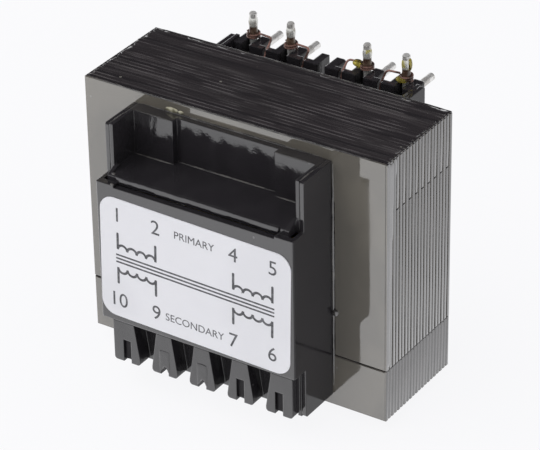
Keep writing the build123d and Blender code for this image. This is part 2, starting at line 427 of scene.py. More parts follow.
# %% Hang the lamps
lamps = (
    ("key_lamp", Vector((-0.40, 0.80, 0.45)), 1.75, 70),
    ("fill_lamp", Vector((0.80, 0.45, 0.10)), 0.45, 90),
)
for name, toward_lamp, strength, wide_deg in lamps:
    bpy.ops.object.light_add(type="SUN")
    lamp = bpy.context.active_object
    lamp.name = name
    lamp.rotation_mode = "QUATERNION"
    lamp.rotation_quaternion = toward_lamp.to_track_quat("Z", "Y")
    lamp.data.energy = strength
    lamp.data.angle = math.radians(wide_deg)
    lamp.visible_glossy = False
bpy.context.scene.view_settings.view_transform = "Standard"
print("lamps:", [entry[0] for entry in lamps])


# %% [markdown]
# ## Shared effects
# The whole transformer was dipped in varnish, so one node group makes the slow waves
# of a varnish film. It gives a height for a Bump node, and a patch mask for places
# where the film is thicker.

# %% Varnish film group
varnish_film, given, made = new_group(
    "varnish_film", {"Waves": 180.0, "Grain": 3500.0, "Grain Share": 0.04, "Run": 0.6}, ("Height", "Patch"),
)
place = add_node(varnish_film, "ShaderNodeTexCoord")
stretch = add_node(varnish_film, "ShaderNodeCombineXYZ", X=1.0, Y=given.outputs["Run"], Z=1.0)
drawn = multiply_vectors(varnish_film, place.outputs["Object"], stretch.outputs[0])
waves = add_node(
    varnish_film, "ShaderNodeTexNoise", Vector=drawn, Scale=given.outputs["Waves"],
    Detail=2.0, Roughness=0.35,
)
grain = add_node(
    varnish_film, "ShaderNodeTexNoise", Vector=place.outputs["Object"], Scale=given.outputs["Grain"],
    Detail=2.0, Roughness=0.5,
)
fine = calculate(varnish_film, "MULTIPLY", grain.outputs[0], given.outputs["Grain Share"])
height = calculate(varnish_film, "ADD", waves.outputs[0], fine)
patch = soft_step(varnish_film, waves.outputs[0], 0.45, 0.62)
fill(varnish_film, made, Height=height, Patch=patch)
print("group:", varnish_film.name)

# %% [markdown]
# The film is thinner on the walls that face the sides, because it ran off there. One
# small group marks those walls from the direction that they face.

# %% Side wall group
side_walls, given, made = new_group("side_walls", {"Limit": 0.7}, ("Side",))
facing = add_node(side_walls, "ShaderNodeNewGeometry")
across = add_node(side_walls, "ShaderNodeSeparateXYZ", Vector=facing.outputs["Normal"])
across = calculate(side_walls, "ABSOLUTE", across.outputs["X"])
across = calculate(side_walls, "GREATER_THAN", across, given.outputs["Limit"])
fill(side_walls, made, Side=across)
print("group:", side_walls.name)

# %% [markdown]
# Dust and tiny chips sit on every surface. A Voronoi pattern has one point in each
# cell, so a small threshold round those points gives scattered specks.

# %% Speck group
specks, given, made = new_group("specks", {"Cells": 900.0, "Speck Size": 0.12, "Amount": 0.3}, ("Mask",))
place = add_node(specks, "ShaderNodeTexCoord")
cells = add_node(
    specks, "ShaderNodeTexVoronoi", Vector=place.outputs["Object"], Scale=given.outputs["Cells"],
)
near = calculate(specks, "LESS_THAN", cells.outputs["Distance"], given.outputs["Speck Size"])
chance = add_node(specks, "ShaderNodeSeparateColor", Color=cells.outputs["Color"])
chosen = calculate(specks, "LESS_THAN", chance.outputs[0], given.outputs["Amount"])
fill(specks, made, Mask=calculate(specks, "MULTIPLY", near, chosen))
print("group:", specks.name)

# %% [markdown]
# A stack of punched sheets is never one colour. This group gives each sheet a number
# from its depth in the stack, and a random tone from that number. It also tells the
# flat faces from the punched edges, and draws fine lines along those edges: a
# noise that is drawn out in X and Y and very fine across the sheets. The output with
# those lines also carries a painted highlight on the rims of the sheets.

# %% Stack group
streak_stretch = (90.0, 90.0, 2600.0)

stack_tone, given, made = new_group(
    "stack_tone", {"Stack Start": 0.0, "Sheet": sheet_pitch}, ("Face", "Tone", "Streak"),
)
place = add_node(stack_tone, "ShaderNodeTexCoord")
at = add_node(stack_tone, "ShaderNodeSeparateXYZ", Vector=place.outputs["Object"])
depth = calculate(stack_tone, "SUBTRACT", at.outputs["Z"], given.outputs["Stack Start"])
number = calculate(stack_tone, "DIVIDE", depth, given.outputs["Sheet"])
across_sheet = calculate(stack_tone, "FRACT", number)
number = calculate(stack_tone, "FLOOR", number)
tone = add_node(stack_tone, "ShaderNodeTexWhiteNoise", {"noise_dimensions": "1D"}, W=number)
facing = add_node(stack_tone, "ShaderNodeNewGeometry")
along = add_node(stack_tone, "ShaderNodeSeparateXYZ", Vector=facing.outputs["Normal"])
flat = calculate(stack_tone, "ABSOLUTE", along.outputs["Z"])
flat = add_node(stack_tone, "ShaderNodeMapRange", Value=flat, From_Min=0.5, From_Max=0.9)
lines = multiply_vectors(stack_tone, place.outputs["Object"], streak_stretch)
streak = add_node(stack_tone, "ShaderNodeTexNoise", Vector=lines, Scale=1.0, Detail=3.0)
streak = soft_step(stack_tone, streak.outputs[0], 0.5, 0.75, top=0.5)
print("streaks are drawn")

# %% [markdown]
# A painted highlight stands for light that catches the rim of a sheet here and there.
# A line near the rim of each sheet, kept only where a coarse noise is high, breaks into
# short pieces.

# %% Painted highlight on the rims
dash_stretch = (170.0, 170.0, 420.0)

rim = soft_step(stack_tone, across_sheet, 0.6, 0.85)
kept = multiply_vectors(stack_tone, place.outputs["Object"], dash_stretch)
kept = add_node(stack_tone, "ShaderNodeTexNoise", Vector=kept, Scale=1.0, Detail=2.0)
kept = soft_step(stack_tone, kept.outputs[0], 0.42, 0.62)
rim_highlight = calculate(stack_tone, "MULTIPLY", rim, kept)
# The painted rim highlight joins the streaks in one output.
streak = calculate(stack_tone, "MAXIMUM", streak, rim_highlight)
fill(stack_tone, made, Face=flat.outputs[0], Tone=tone.outputs[0], Streak=streak)
print("group:", stack_tone.name)


# %% [markdown]
# ## Finishes
# ### Varnished laminations
# Silicon steel sheets under brown varnish: grey-brown on the flat face, darker on the
# punched edges. The varnish mirrors the white ground, so a second clear layer
# (the coat) lies over a shader that already reflects strongly. Where the core stood
# in the bath, the skin is thick and a little dull, so that finish has less coat.

# %% Varnished laminations
def rounded_bump(tree, height, depth, edge_radius):
    """A Bump node over a Bevel node: waves on the surface, and edges that catch light."""
    edge = add_node(tree, "ShaderNodeBevel", {"samples": 6}, Radius=edge_radius)
    bump = add_node(
        tree, "ShaderNodeBump", Strength=1.0, Distance=depth, Height=height, Normal=edge.outputs[0],
    )
    return bump.outputs[0]


def lamination_finish(name, coat):
    """Varnished steel sheets, with more or less clear coat."""
    material, tree, surface = new_material(
        name, IOR=1.7, Specular_IOR_Level=1.0, Coat_Weight=coat, Coat_Roughness=0.02,
    )
    stack = use_group(tree, stack_tone, Stack_Start=core_low.z)
    film = use_group(tree, varnish_film, Waves=150.0, Grain=2600.0, Grain_Share=0.03, Run=0.7)
    dust = use_group(tree, specks, Cells=700.0, Speck_Size=0.1, Amount=0.15)
    face_color = mix_colors(tree, film.outputs["Patch"], (0.125, 0.115, 0.097, 1), (0.155, 0.142, 0.118, 1))
    edge_color = mix_colors(tree, stack.outputs["Tone"], (0.018, 0.016, 0.0175, 1), (0.031, 0.027, 0.0285, 1))
    # The streaks and the painted rim highlight lighten the edge colour.
    edge_color = mix_colors(tree, stack.outputs["Streak"], edge_color, (0.1, 0.092, 0.093, 1))
    color = mix_colors(tree, stack.outputs["Face"], edge_color, face_color)
    color = mix_colors(tree, dust.outputs["Mask"], color, (0.2, 0.19, 0.17, 1))
    waved = rounded_bump(tree, film.outputs["Height"], 0.05 * MM, 0.04 * MM)
    fill(tree, surface, Base_Color=color, Normal=waved, Coat_Normal=waved)
    fill(tree, surface, Roughness=map_value(tree, film.outputs["Patch"], 0.05, 0.11))
    return material


lamination_paint = lamination_finish("varnished_lamination", 1.0)
dipped_paint = lamination_finish("dipped_lamination", 0.35)
print("finishes:", lamination_paint.name, dipped_paint.name)


# %% [markdown]
# ### Black mouldings
# The bobbin and the covers are black moulded plastic under the same varnish. Black
# plastic shows only what it mirrors, so its base is nearly black and the film's
# waves do the work. On the bobbin the film ran down the walls, so its waves are deeper.

# %% Black mouldings
def moulding_finish(name, wave_scale, wave_depth, run, coat):
    """Black plastic with a coat that is missing on the walls that face the sides."""
    material, tree, surface = new_material(
        name, IOR=1.5, Specular_IOR_Level=0.3, Coat_IOR=1.9, Coat_Roughness=0.03,
    )
    walls = use_group(tree, side_walls)
    film = use_group(tree, varnish_film, Waves=wave_scale, Grain=4200.0, Grain_Share=0.05, Run=run)
    dust = use_group(tree, specks, Cells=650.0, Speck_Size=0.09, Amount=0.12)
    color = mix_colors(tree, film.outputs["Patch"], (0.019, 0.0175, 0.0198, 1), (0.022, 0.0203, 0.0228, 1))
    color = mix_colors(tree, dust.outputs["Mask"], color, (0.12, 0.115, 0.12, 1))
    waved = rounded_bump(tree, film.outputs["Height"], wave_depth, 0.18 * MM)
    fill(tree, surface, Base_Color=color, Normal=waved, Coat_Normal=waved)
    fill(tree, surface, Roughness=map_value(tree, film.outputs["Patch"], 0.10, 0.16))
    fill(tree, surface, Coat_Weight=map_value(tree, walls.outputs["Side"], coat, 0.0))
    return material


bobbin_paint = moulding_finish("bobbin_moulding", 400.0, 0.15 * MM, 0.6, 0.85)
cover_paint = moulding_finish("cover_moulding", 170.0, 0.05 * MM, 0.8, 1.0)
print("finishes:", bobbin_paint.name, cover_paint.name)


# %% [markdown]
# ### Filmed finishes
# All other finishes have one plan. A film gives patches, and the colour and the
# roughness change from patch to patch. Most get a fine bump from the same film, and
# some get dust. One function draws that plan, and each finish gives it numbers.

# %% Plan of a filmed finish
def filmed_finish(name, scales, colors, rough, bump=None, dust=None, **shader):
    """A finish that changes from patch to patch of a film.

    The scales are the film's waves, its grain, the share of the grain and the run. The
    bump is a strength and a depth. The dust is its cells, size, amount and colour.
    """
    material, tree, surface = new_material(name, **shader)
    waves, grain, grain_share, run = scales
    film = use_group(tree, varnish_film, Waves=waves, Grain=grain, Grain_Share=grain_share, Run=run)
    color = mix_colors(tree, film.outputs["Patch"], *colors)
    if dust:
        cells, size, amount, dust_color = dust
        grains = use_group(tree, specks, Cells=cells, Speck_Size=size, Amount=amount)
        color = mix_colors(tree, grains.outputs["Mask"], color, dust_color)
    fill(tree, surface, Base_Color=color, Roughness=map_value(tree, film.outputs["Patch"], *rough))
    if bump:
        strength, depth = bump
        raised = add_node(
            tree, "ShaderNodeBump", Strength=strength, Distance=depth, Height=film.outputs["Height"],
        )
        fill(tree, surface, Normal=raised.outputs[0])
    return material


print("plan is ready")

# %% [markdown]
# Enamelled wire is copper under a coloured clear skin. The wire at the terminals is
# browner, because it was dipped in varnish, and the turns round the stubs are darker still.
# The pins are tinned: a soft, slightly blotchy metal.

# %% Tin and wire
tin_paint = filmed_finish(
    "tinned_pin", (900.0, 9000.0, 0.3, 0.5), ((0.88, 0.87, 0.85, 1), (0.68, 0.66, 0.63, 1)),
    (0.34, 0.5), bump=(0.6, 0.02 * MM), Metallic=0.65,
)
wire_colors = {
    "enamelled_wire": ((0.50, 0.20, 0.11, 1), (0.24, 0.09, 0.045, 1), 0.55),
    "varnished_wire": ((0.36, 0.2, 0.17, 1), (0.08, 0.04, 0.032, 1), 0.3),
    "dark_wire": ((0.2, 0.11, 0.09, 1), (0.055, 0.03, 0.025, 1), 0.2),
}
copper_wire, pale_wire, dark_wire = [
    filmed_finish(
        name, (1200.0, 6000.0, 0.2, 1.0), (light, dark), (0.25, 0.4),
        Metallic=metallic, Coat_Weight=0.8, Coat_Roughness=0.1,
    )
    for name, (light, dark, metallic) in wire_colors.items()
]
print("finishes:", tin_paint.name, copper_wire.name, pale_wire.name, dark_wire.name)

# %% [markdown]
# The tape is yellow polyester under a thin coat. The label film reflects less than the
# varnish round it, and the ink is dark grey, a little worn where the patch mask is high.

# %% Tape, label film and ink
tape_paint = filmed_finish(
    "polyester_tape", (260.0, 2500.0, 0.1, 1.0), ((0.42, 0.26, 0.04, 1), (0.30, 0.17, 0.025, 1)),
    (0.25, 0.4), Coat_Weight=0.4, Coat_Roughness=0.15,
)
label_paint = filmed_finish(
    "label_film", (90.0, 5000.0, 0.25, 1.0), ((0.77, 0.77, 0.8, 1), (0.735, 0.735, 0.765, 1)),
    (0.42, 0.5), bump=(0.3, 0.01 * MM), dust=(500.0, 0.06, 0.1, (0.5, 0.5, 0.52, 1)),
    IOR=1.45, Specular_IOR_Level=0.35,
)
ink_paint = filmed_finish(
    "printing_ink", (2500.0, 12000.0, 0.6, 1.0), ((0.085, 0.085, 0.092, 1), (0.15, 0.15, 0.16, 1)),
    (0.45, 0.6), Specular_IOR_Level=0.3,
)
print("finishes:", tape_paint.name, label_paint.name, ink_paint.name)

# %% [markdown]
# Clear varnish that has set in a drop or in a corner looks grey over the black parts,
# because it mirrors the ground from every direction. Deep in a slot it stayed dull,
# so it gets a finish that mirrors very little.

# %% Set varnish
drop_paint = filmed_finish(
    "set_varnish", (800.0, 6000.0, 0.1, 1.0), ((0.045, 0.043, 0.042, 1), (0.09, 0.085, 0.08, 1)),
    (0.08, 0.2), bump=(0.5, 0.03 * MM), IOR=1.5, Specular_IOR_Level=1.0, Coat_Weight=1.0, Coat_Roughness=0.03,
)
deep_paint = filmed_finish(
    "deep_varnish", (900.0, 6000.0, 0.2, 0.6), ((0.014, 0.0125, 0.0145, 1), (0.02, 0.0185, 0.0205, 1)),
    (0.45, 0.65), IOR=1.5, Specular_IOR_Level=0.25,
)
print("finishes:", drop_paint.name, deep_paint.name)

# %% [markdown]
# Rosin flux is a yellow-brown resin. It is clear enough to let the light of the ground
# through, so it takes a transmission share. Dry flux is a paler crust that isn't clear.

# %% Flux resin
flux_kinds = {
    "flux_resin": ((0.62, 0.52, 0.1, 1), (0.16, 0.13, 0.02, 1), 0.75),
    "dry_flux": ((0.42, 0.4, 0.3, 1), (0.16, 0.15, 0.1, 1), 0.0),
}
flux_paint, dry_flux = [
    filmed_finish(
        name, (1400.0, 6000.0, 0.1, 1.0), (light, dark), (0.06, 0.18), bump=(0.4, 0.04 * MM),
        IOR=1.5, Transmission_Weight=clear_share, Coat_Weight=0.5, Coat_Roughness=0.03,
    )
    for name, (light, dark, clear_share) in flux_kinds.items()
]
print("finishes:", flux_paint.name, dry_flux.name)


# %% [markdown]
# ### Solder
# Solder is a metal with a smooth skin, and flux leaves a yellow-brown tint where it
# pooled. Below the drop the stub is dark brown, so the finish changes with the
# distance from the middle of the transformer.

# %% Solder
waist_end = 16.05 * MM
waist_blur = 0.15 * MM


def solder_finish(name, flux_color, flux_share):
    """Solder that shows more or less flux, over a brown waist."""
    material, tree, surface = new_material(name, Coat_Weight=0.4, Coat_Roughness=0.12)
    film = use_group(tree, varnish_film, Waves=1500.0, Grain=7000.0, Grain_Share=0.2, Run=0.8)
    place = add_node(tree, "ShaderNodeTexCoord")
    at = add_node(tree, "ShaderNodeSeparateXYZ", Vector=place.outputs["Object"])
    out = calculate(tree, "ABSOLUTE", at.outputs["Y"])
    tip = soft_step(tree, out, waist_end - waist_blur, waist_end + waist_blur)
    amount = map_value(tree, film.outputs["Patch"], 0.0, flux_share)
    color = mix_colors(tree, amount, (0.8, 0.8, 0.76, 1), flux_color)
    brown = mix_colors(tree, film.outputs["Patch"], (0.06, 0.035, 0.025, 1), (0.13, 0.09, 0.06, 1))
    metal = calculate(tree, "MULTIPLY", map_value(tree, amount, 0.5, 0.15), tip)
    bump = add_node(tree, "ShaderNodeBump", Strength=0.7, Distance=0.035 * MM, Height=film.outputs["Height"])
    fill(tree, surface, Base_Color=mix_colors(tree, tip, brown, color), Metallic=metal)
    fill(tree, surface, Roughness=map_value(tree, film.outputs["Patch"], 0.25, 0.42), Normal=bump.outputs[0])
    return material


clean_solder = solder_finish("clean_solder", (0.22, 0.17, 0.11, 1), 0.6)
fluxed_solder = solder_finish("fluxed_solder", (0.46, 0.41, 0.12, 1), 1.0)
print("finishes:", clean_solder.name, fluxed_solder.name)

# %% [markdown]
# ## Finishes for the solid model
# The nodes keep their shape and get these finishes. The name of a node says what it is
# made of, so a short list of name parts is enough.

# %% Dress the nodes
finish_of = (
    ("laminations", lamination_paint),
    ("bobbin", bobbin_paint),
    ("cover", cover_paint),
    ("winding", copper_wire),
    ("tape", tape_paint),
    ("_pin_", tin_paint),
    ("solder", clean_solder),
    ("lead", pale_wire),
    ("label", label_paint),
)
for name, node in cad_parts.items():
    for part, material in finish_of:
        if part in name:
            node.data.materials.clear()
            node.data.materials.append(material)
            break
print("dressed:", len(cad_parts))


# %% [markdown]
# ## Wire and solder on the terminals
# The end of each winding is wrapped round the stub of its pin, and the stub was then
# dipped in solder. We model one stub on the origin, pointing along +Y, and put a copy
# on each pin. The box of the solid model's joint gives the axis and the sizes.

# %% Read one joint
joint_low, joint_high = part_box("primary_solder_1")
pin_low, pin_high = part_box("primary_pin_1")
joint_radius = (joint_high.x - joint_low.x) / 2
pin_radius = (pin_high.x - pin_low.x) / 2
stub_length = pin_high.y - joint_low.y
print("joint radius in mm:", round(joint_radius / MM, 2), "stub in mm:", round(stub_length / MM, 2))


# %% [markdown]
# The turns of wire are a small circle that a Screw modifier carries round the pin. The
# circle stands beside the Y axis, and each turn climbs by a little more than the
# wire's thickness. The two open ends are then filled.

# %% Wind the wire
wire_radius = 0.125 * MM
wire_climb = 0.27 * MM
wire_turns = 2.5
wire_sides = 10
turn_steps = 72

deselect_all()
bpy.ops.mesh.primitive_circle_add(
    vertices=wire_sides, radius=wire_radius, location=(joint_radius - wire_radius, wire_radius, 0),
)
wire_wrap = start_piece("wire_wrap")
screw = wire_wrap.modifiers.new("turns", "SCREW")
screw.axis = "Y"
screw.angle = math.radians(360 * wire_turns)
screw.screw_offset = wire_climb * wire_turns
screw.iterations = 1
screw.steps = turn_steps
screw.render_steps = turn_steps
apply_modifiers(wire_wrap)
edit(wire_wrap)
bpy.ops.mesh.select_all(action="SELECT")
bpy.ops.mesh.fill_holes(sides=wire_sides)
face_outward()
make_uneven(offset=0.02 * MM, normal=0.0, seed=9, rounds=0)
deselect_all()
print("wrap faces:", len(wire_wrap.data.polygons))


# %% [markdown]
# Solder forms a long drop on the tip, because it runs down and sets as the pin is
# lifted out of the bath. We start with a ring round the pin and extrude it again and
# again. Each step has a length along the pin and a new radius.

# %% Draw out the solder
solder_steps_mm = (
    (0.1, 0.56), (0.45, 0.56), (0.25, 0.48), (0.5, 0.47), (0.2, 0.52),
    (0.35, 0.56), (0.45, 0.51), (0.3, 0.40), (0.22, 0.27), (0.12, 0.12),
)


def extrude_ring(step, ratio, middle):
    """Extrudes the selected ring along Y, then widens or narrows it about the axis."""
    bpy.ops.mesh.extrude_region_move(TRANSFORM_OT_translate={"value": (0, step, 0)})
    bpy.ops.transform.resize(value=(ratio, 1, ratio), center_override=middle)


deselect_all()
bpy.ops.mesh.primitive_circle_add(
    vertices=28, radius=pin_radius, rotation=(math.radians(90), 0, 0),
)
solder_drop = start_piece("solder_drop")
edit(solder_drop)
bpy.ops.mesh.select_all(action="SELECT")
reached = 0.0
radius = pin_radius
for step_mm, radius_mm in solder_steps_mm:
    reached += step_mm * MM
    extrude_ring(step_mm * MM, radius_mm * MM / radius, (0, reached, 0))
    radius = radius_mm * MM
bpy.ops.mesh.edge_face_add()
face_outward()
deselect_all()
solder_drop.modifiers.new("round", "SUBSURF").levels = 1
solder_drop.modifiers["round"].render_levels = 1
apply_modifiers(solder_drop)
print("solder length in mm:", round(reached / MM, 2))


# %% [markdown]
# Now every stub gets its copies. The lower row points down, so its copies are
# mirrored, and a mirrored mesh needs its normals made consistent again. A
# different turn about the pin keeps the copies from looking alike.

# %% Copy to the pins
def put_copy(source, name, place, outward, turn_deg):
    """A copy with its own mesh, turned about Y and put in its place. Outward is 1 or -1."""
    select_only(source)
    bpy.ops.object.duplicate(linked=False)
    piece = bpy.context.active_object
    piece.name = name
    piece.data.name = name
    piece.rotation_euler = (0, math.radians(turn_deg), 0)
    bpy.ops.object.transform_apply(location=False, rotation=True, scale=False)
    piece.scale = (1, outward, 1)
    piece.location = place
    apply_transform()
    edit(piece)
    face_outward()
    deselect_all()
    return piece


wrap_drop = 0.22 * MM
most_turn_deg = 40
random.seed(38)
for row, outward in (("primary", 1), ("secondary", -1)):
    for number in range(1, 5):
        low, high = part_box(f"{row}_solder_{number}")
        start_y = low.y if outward > 0 else high.y
        place = Vector(((low.x + high.x) / 2, start_y, (low.z + high.z) / 2))
        wrap_place = place - Vector((0, outward * wrap_drop, 0))
        turn_deg = random.uniform(-most_turn_deg, most_turn_deg)
        fluxed = row == "primary" and number > 2
        wrap = put_copy(wire_wrap, f"{row}_wire_wrap_{number}", wrap_place, outward, turn_deg)
        finish_piece(wrap, dark_wire)
        drop = put_copy(solder_drop, f"{row}_solder_drop_{number}", place, outward, turn_deg)
        finish_piece(drop, fluxed_solder if fluxed else clean_solder)
        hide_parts(f"{row}_solder_{number}")
        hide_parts(f"{row}_solder_{number}")
bpy.data.objects.remove(wire_wrap)
bpy.data.objects.remove(solder_drop)
print("stubs dressed: 8")

# %% [markdown]
# ## Print on the label
# The label says which terminals belong to which winding. Its print is a thin
# layer of ink: numbers next to the pins, and the usual drawing of a transformer, which
# is rows of half rings for the windings and long bars for the core.
# The label was stuck on a little out of true, so the print is made straight and
# then turned with it.

# %% Sizes of the print
label_middle = (label_low + label_high) / 2
label_turn_deg = -1.3
ink_depth = 0.012 * MM
ink_rise = 0.4 * ink_depth
ink_line = 0.3 * MM
number_size = 2.5 * MM
word_size = 1.3 * MM
row_y = 5.4 * MM
print_rows = ((row_y, ("1", "2", "4", "5"), "PRIMARY"), (-row_y, ("10", "9", "7", "6"), "SECONDARY"))
pin_pitch = 5.0 * MM
pin_columns = (-2, -1, 1, 2)
print("label middle in mm:", [round(c / MM, 2) for c in label_middle])


# %% [markdown]
# Each number starts as a text object. It becomes a mesh first, and only then goes to
# its place, with a little depth so that it is a real layer of ink. The two words
# say which side of the transformer a row belongs to.

# %% Print the terminal numbers
def ink_text(body, size, x, y):
    """One word of flat text, centred on a place of the label and made a mesh."""
    deselect_all()
    bpy.ops.object.text_add()
    text = bpy.context.active_object
    text.data.body = body
    text.data.size = size
    text.data.align_x = "CENTER"
    text.data.align_y = "CENTER"
    text.data.extrude = ink_depth / 2
    text.data.resolution_u = 4
    bpy.ops.object.convert(target="MESH")
    printed = bpy.context.active_object
    printed.location = (x, y, 0)
    apply_transform()
    return printed


inked = []
for y, numbers, word in print_rows:
    for column, number in zip(pin_columns, numbers):
        inked.append(ink_text(number, number_size, column * pin_pitch, y))
    inked.append(ink_text(word, word_size, 0, y))
print("numbers and words:", len(inked))


# %% [markdown]
# A winding is drawn as half rings in a row. The half ring is a torus, pressed flat,
# with its lower half deleted, and an Array modifier repeats it. The lower windings
# are the same drawing turned upside down.

# %% Draw the windings
ring_radius = 0.62 * MM
rings_in_a_coil = 4
end_rounding = 0.45


def flat_bar(width, height, x, y):
    """A bar of ink with rounded ends."""
    deselect_all()
    bpy.ops.mesh.primitive_cube_add(size=1)
    bar = bpy.context.active_object
    bar.scale = (width, height, ink_depth)
    apply_transform()
    edit(bar)
    select_edges(bar, lambda e: abs(e.z) > ink_depth / 2)
    bpy.ops.mesh.bevel(offset=min(width, height) * end_rounding, segments=4)
    select_only(bar)
    bar.location = (x, y, 0)
    apply_transform()
    return bar


def coil_drawing(middle_x, base_y, up):
    """Half rings in a row that bulge up, or down with an up of -1."""
    deselect_all()
    bpy.ops.mesh.primitive_torus_add(
        major_radius=ring_radius, minor_radius=ink_line / 2, major_segments=40, minor_segments=8,
    )
    coil = bpy.context.active_object
    coil.scale = (1, 1, ink_depth / ink_line)
    apply_transform()
    edit(coil)
    select_points(coil, lambda p: p.y < -ring_radius * 0.05)
    bpy.ops.mesh.delete(type="VERT")
    deselect_all()
    repeat_piece(coil, rings_in_a_coil, (2 * ring_radius, 0, 0))
    apply_modifiers(coil)
    coil.scale = (1, up, 1)
    coil.location = (middle_x - (rings_in_a_coil - 1) * ring_radius, base_y, 0)
    apply_transform()
    return coil


coil_y = 1.15 * MM
lead_height = 2.1 * MM
core_bar = (20.5 * MM, 0.2 * MM)
core_bars_y = (-0.45 * MM, 0.0, 0.45 * MM)
for side in (-1, 1):
    middle_x = side * 1.5 * pin_pitch
    for up in (1, -1):
        inked.append(coil_drawing(middle_x, up * coil_y, up))
        for end in (-1, 1):
            lead_x = middle_x + end * rings_in_a_coil * ring_radius
            lead_y = up * (coil_y + lead_height / 2)
            inked.append(flat_bar(ink_line, lead_height, lead_x, lead_y))
for bar_y in core_bars_y:
    inked.append(flat_bar(*core_bar, 0, bar_y))
print("print pieces:", len(inked))

# %% [markdown]
# All the ink is one layer, so the pieces are joined, turned with the label and laid on it.

# %% Lay the print on the label
deselect_all()
for printed in inked:
    printed.select_set(True)
bpy.context.view_layer.objects.active = inked[0]
bpy.ops.object.join()
label_print = bpy.context.active_object
label_print.name = "label_print"
label_print.data.name = "label_print"
label_print.rotation_euler = (0, 0, math.radians(label_turn_deg))
apply_transform()
label_print.location = (label_middle.x, label_middle.y, label_high.z + ink_rise)
apply_transform()
edit(label_print)
face_outward()
finish_piece(label_print, ink_paint)
print("ink faces:", len(label_print.data.polygons))

# %% [markdown]
# ## Set varnish
# Varnish that ran together sets as beads in corners and as plugs in narrow
# slots. We start with the long beads: a ball with many rings, drawn out into a rod and
# made uneven with a seeded random shift.

# %% Beads in the corners
bead_radius = 0.17 * MM
bead_rings = 60


def long_bead(name, start, end, radius, seed):
    """An uneven bead of varnish between two points, with rounded ends."""
    start = Vector(start)
    end = Vector(end)
    along = end - start
    deselect_all()
    bpy.ops.mesh.primitive_uv_sphere_add(segments=12, ring_count=bead_rings, radius=1)
    bead = start_piece(name)
    bead.scale = (radius, radius, along.length / 2)
    bpy.ops.object.transform_apply(location=False, rotation=False, scale=True)
    edit(bead)
    bpy.ops.mesh.select_all(action="SELECT")
    make_uneven(offset=0.35 * radius, normal=1.0, seed=seed, rounds=3)
    deselect_all()
    bead.rotation_mode = "QUATERNION"
    bead.rotation_quaternion = along.to_track_quat("Z", "Y")
    bead.location = (start + end) / 2
    return finish_piece(bead, drop_paint, smooth_deg=80)


for word, side, seed in (("right", 1, 3), ("left", -1, 4)):
    bead_x = (cover_high.x if side > 0 else cover_low.x) + side * bead_radius / 2
    long_bead(
        f"varnish_bead_{word}", (bead_x, cover_low.y + MM, core_front),
        (bead_x, cover_high.y - 0.3 * MM, core_front), bead_radius, seed,
    )
top_bead_z = core_front + bead_radius / 3
long_bead(
    "varnish_bead_top", (cover_low.x + MM, cover_high.y, top_bead_z),
    (cover_high.x - MM, cover_high.y, top_bead_z), bead_radius * 0.8, 5,
)
print("beads round the cover: 3")

# %% [markdown]
# More beads lie in the tray: in the seams of its end walls, along its rim and where its
# floor meets its back wall. Two very slim ones follow the upper edges of the core. The
# tray's places are sizes of the bobbin, read off the solid model.

# %% Beads in the tray and on the core
end_seam_x = 12.08 * MM
rim_top = 14.65 * MM
rim_bead_end = 11.4 * MM
tray_floor = 9.3 * MM
floor_bead_end = 11.5 * MM
recess_end = 6.5 * MM
past_recess = recess_end + 0.1 * MM
recess_z = core_front + 0.9 * MM
wall_z = core_front + 1.7 * MM
wall_front = core_front + 5.5 * MM
thin = 0.1 * MM
floor_thin = 1.3 * thin
for word, side, seed in (("left", -1, 41), ("right", 1, 42)):
    long_bead(
        f"varnish_bead_seam_{word}", (side * end_seam_x, rim_top, wall_z + MM),
        (side * end_seam_x, rim_top, wall_front), thin, seed,
    )
    long_bead(
        f"varnish_bead_rim_{word}", (side * past_recess, rim_top, wall_z),
        (side * rim_bead_end, rim_top, wall_z), thin, seed + 2,
    )
    long_bead(
        f"varnish_bead_floor_{word}", (side * past_recess, tray_floor, wall_z),
        (side * floor_bead_end, tray_floor, wall_z), floor_thin, seed + 4,
    )
long_bead(
    "varnish_bead_floor_middle", (-recess_end, tray_floor, recess_z),
    (recess_end, tray_floor, recess_z), floor_thin, 47,
)
for word, z, seed in (("top", core_front, 48), ("back", core_low.z, 49)):
    long_bead(
        f"varnish_bead_core_{word}", (core_low.x + MM, core_high.y, z),
        (core_high.x - MM, core_high.y, z), thin, seed,
    )
print("beads in the tray and on the core: 9")

# %% [markdown]
# The free edge of the tray's floor carries a flat bead. It starts as a long block, cut
# across into many pieces, so that its edge can wander like varnish that stopped
# while it was running.

# %% Bead on the tray's edge
lip_bead_size = (20.9 * MM, 0.66 * MM, 0.36 * MM)
lip_bead_place = (0.0, tray_floor - 0.22 * MM, bobbin_front + 0.12 * MM)

deselect_all()
bpy.ops.mesh.primitive_cube_add(size=1)
lip_bead = start_piece("varnish_bead_lip")
edit(lip_bead)
bpy.ops.mesh.select_all(action="SELECT")
bpy.ops.mesh.subdivide(number_cuts=3)
select_only(lip_bead)
lip_bead.scale = lip_bead_size
apply_transform()
edit(lip_bead)
select_edges(lip_bead, lambda e: abs(e.x) > MM)
bpy.ops.mesh.subdivide(number_cuts=14)
bpy.ops.mesh.select_mode(type="VERT")
bpy.ops.mesh.select_all(action="SELECT")
make_uneven(offset=0.09 * MM, normal=0.3, seed=6, rounds=2)
deselect_all()
lip_bead.location = lip_bead_place
finish_piece(lip_bead, bobbin_paint, smooth_deg=50)
print("lip bead faces:", len(lip_bead.data.polygons))

# %% [markdown]
# The slots of the label-side comb are closed by varnish: two in front, where it ran
# down last and spread over the slot's rims, and three a little deeper. A plug is a
# block, cut into small faces. The columns in its middle are shortened, which leaves an
# arch at the free end, where the drop let go.

# %% Plugs in the slots
slot_width = 1.0 * MM
slot_length = 2.7 * MM
plug_depth = 1.4 * MM
plug_foot = 0.15 * MM
spread_past_root = 0.35 * MM
deep_setback = 0.3 * MM
plug_rise = 0.05 * MM
comb_end = cover_low.y + 0.25 * MM


